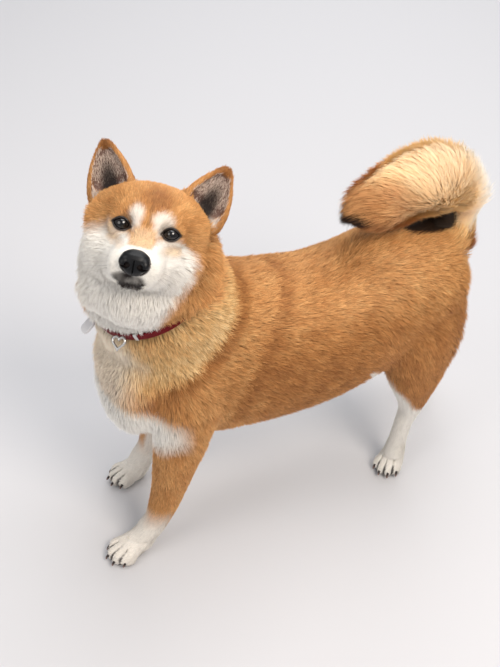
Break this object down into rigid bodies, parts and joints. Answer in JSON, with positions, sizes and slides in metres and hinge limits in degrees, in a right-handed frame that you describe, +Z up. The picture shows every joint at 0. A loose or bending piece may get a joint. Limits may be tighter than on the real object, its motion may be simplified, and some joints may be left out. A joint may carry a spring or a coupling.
{
  "type": "shiba inu",
  "caption": "Life-size still model of a standing red shiba inu, head turned to its left, tail curled over its back, in a collar with a ring and tag.",
  "frame": {"origin": "on the floor under the middle of the whole model's box", "axes": "-Y the way the dog's body faces, +X to the dog's left, +Z up"},
  "size_m": [0.2204, 0.5458, 0.5289],
  "materials": {
    "red_coat": "dense short fur, red with cream cheeks, throat, belly and legs",
    "pale_coat": "short cream fur",
    "nose_skin": "black pebbled skin, moist",
    "eye": "dark brown, wet gloss",
    "claw": "dark horn with paler tips",
    "collar": "dark red woven strap",
    "silver": "polished",
    "white_plastic": "satin"
  },
  "bodies": {
    "root": {"ear_left": "red_coat", "eye_left": "eye", "ear_right": "red_coat", "eye_right": "eye", "nose": "nose_skin", "head": "red_coat", "neck": "red_coat", "chest": "red_coat", "trunk": "red_coat", "rump": "red_coat", "tail_root": "red_coat", "tail_curl": "red_coat", "tail_tip": "red_coat", "fore_left_upper": "red_coat", "fore_left_lower": "red_coat", "fore_left_paw": "pale_coat", "fore_left_claw_1": "claw", "fore_left_claw_2": "claw", "fore_left_claw_3": "claw", "fore_left_claw_4": "claw", "fore_right_upper": "red_coat", "fore_right_lower": "red_coat", "fore_right_paw": "pale_coat", "fore_right_claw_1": "claw", "fore_right_claw_2": "claw", "fore_right_claw_3": "claw", "fore_right_claw_4": "claw", "hind_left_upper": "red_coat", "hind_left_lower": "red_coat", "hind_left_paw": "pale_coat", "hind_left_claw_1": "claw", "hind_left_claw_2": "claw", "hind_left_claw_3": "claw", "hind_left_claw_4": "claw", "hind_right_upper": "red_coat", "hind_right_lower": "red_coat", "hind_right_paw": "pale_coat", "hind_right_claw_1": "claw", "hind_right_claw_2": "claw", "hind_right_claw_3": "claw", "hind_right_claw_4": "claw", "collar_strap": "collar", "collar_keeper": "silver", "heart_ring": "silver", "tag": "white_plastic"}
  },
  "joints": []
}
